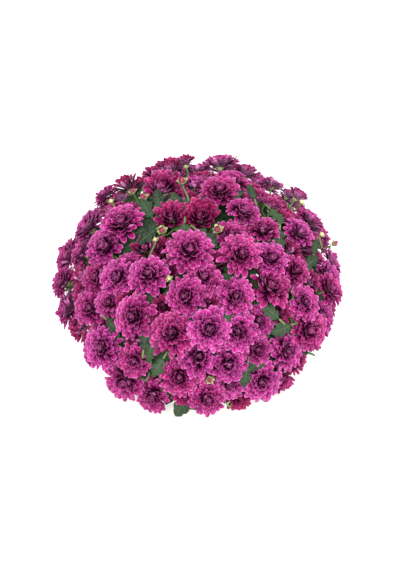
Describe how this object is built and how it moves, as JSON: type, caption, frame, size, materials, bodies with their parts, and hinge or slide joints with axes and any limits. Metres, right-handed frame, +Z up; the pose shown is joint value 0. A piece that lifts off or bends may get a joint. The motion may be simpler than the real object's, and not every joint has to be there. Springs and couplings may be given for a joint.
{
  "type": "pot chrysanthemum",
  "caption": "Potted chrysanthemum: a low dome of double magenta blooms over lobed green leaves, in a plain cream pot that stands on its flat base.",
  "frame": {"origin": "centre of the flat face under the pot", "axes": "+Z up, +X to the plant's right as seen from its front, -Y towards the front"},
  "size_m": [0.3269, 0.3325, 0.2801],
  "materials": {
    "pot": "satin",
    "soil": "matte",
    "foliage": "satin",
    "petals": "matte"
  },
  "bodies": {
    "root": {"pot": "pot", "soil": "soil", "leafy_stem_1": "foliage", "leafy_stem_2": "foliage", "leafy_stem_3": "foliage", "leafy_stem_4": "foliage", "leafy_stem_5": "foliage", "leafy_stem_6": "foliage", "leafy_stem_7": "foliage", "leafy_stem_8": "foliage", "leafy_stem_middle": "foliage", "blooms_01": "petals", "blooms_02": "petals", "blooms_03": "petals", "blooms_04": "petals", "blooms_05": "petals", "blooms_06": "petals", "blooms_07": "petals", "blooms_08": "petals", "blooms_09": "petals", "blooms_10": "petals", "blooms_11": "petals", "blooms_12": "petals", "blooms_13": "petals", "blooms_14": "petals", "blooms_15": "petals", "blooms_16": "petals", "blooms_17": "petals", "blooms_18": "petals", "blooms_19": "petals", "blooms_20": "petals", "blooms_21": "petals", "blooms_22": "petals", "blooms_23": "petals", "blooms_24": "petals", "blooms_25": "petals", "blooms_26": "petals", "blooms_27": "petals", "blooms_28": "petals", "blooms_29": "petals", "blooms_30": "petals", "blooms_31": "petals", "blooms_32": "petals", "blooms_33": "petals", "blooms_34": "petals", "blooms_35": "petals", "blooms_36": "petals", "blooms_37": "petals", "blooms_38": "petals", "blooms_39": "petals", "blooms_40": "petals", "blooms_41": "petals", "blooms_42": "petals", "blooms_43": "petals", "blooms_44": "petals", "blooms_45": "petals", "blooms_46": "petals", "blooms_47": "petals", "blooms_48": "petals"}
  },
  "joints": []
}
